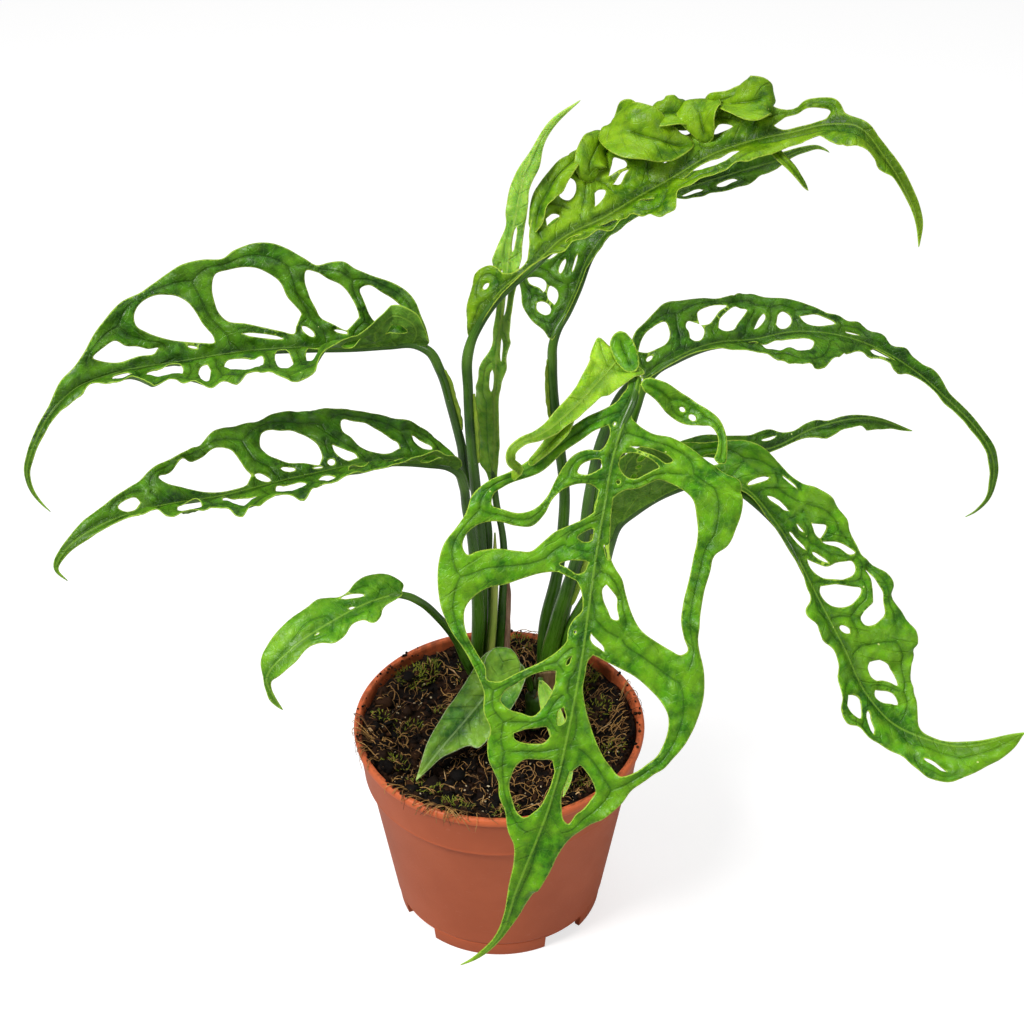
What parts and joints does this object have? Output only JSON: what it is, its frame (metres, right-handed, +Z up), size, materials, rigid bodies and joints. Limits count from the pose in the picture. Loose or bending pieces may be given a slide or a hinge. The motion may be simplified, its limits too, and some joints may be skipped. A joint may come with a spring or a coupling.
{
  "type": "potted monstera obliqua",
  "caption": "Potted climbing aroid with lacy, hole-pierced arching leaves on long petioles, rooted in peat in a round tapered nursery pot.",
  "frame": {"origin": "bottom centre of the whole plant's bounding box, at the height of the pot's feet", "axes": "+Z up, -Y towards the viewer of the front with the hanging leaf, +X to that viewer's right"},
  "size_m": [0.3624, 0.1914, 0.3461],
  "materials": {
    "pot_plastic": "smooth terracotta-brown moulded plastic, slightly glossy, a few scratches",
    "peat": "dark brown peat with root fibres, moss and straw bits",
    "stem": "dark green ringed stem",
    "petiole": "smooth green, slightly glossy, finely streaked",
    "pale_sheath": "thin pale yellow-green margin",
    "dry_sheath": "papery brown",
    "leaf_mid": "semi-glossy bright green, quilted, lighter midrib, thin yellow-green edge",
    "leaf_dark": "semi-glossy dark green, quilted, thin yellowish edge",
    "leaf_yellow": "semi-glossy yellow-green young leaf",
    "leaf_young": "soft pale green unrolling leaf",
    "leaf_bluish": "bluish green with silvery sheen and pale edge"
  },
  "bodies": {
    "root": {"pot": "pot_plastic", "soil": "peat", "stem_left": "stem", "stem_right": "stem", "stem_front": "stem", "blade_top_left": "leaf_dark", "blade_middle_left": "leaf_dark", "blade_low_left": "leaf_mid", "blade_arching": "leaf_yellow", "blade_back": "leaf_mid", "blade_unfurling": "leaf_young", "blade_right_upper": "leaf_dark", "blade_right_long": "leaf_mid", "blade_right_small": "leaf_dark", "blade_hanging": "leaf_mid", "blade_low_front": "leaf_bluish", "blade_bract": "leaf_young", "petiole_top_left": "petiole", "petiole_middle_left": "petiole", "petiole_low_left": "petiole", "petiole_arching": "petiole", "petiole_back": "petiole", "petiole_unfurling": "petiole", "petiole_right_upper": "petiole", "petiole_right_long": "petiole", "petiole_right_small": "petiole", "petiole_hanging": "petiole", "petiole_low_front": "petiole", "petiole_bract": "petiole", "sheath_top_left": "pale_sheath", "sheath_arching": "pale_sheath", "sheath_back": "pale_sheath", "sheath_unfurling": "dry_sheath", "sheath_right_upper": "pale_sheath", "sheath_hanging": "pale_sheath", "young_spear": "pale_sheath"}
  },
  "joints": []
}
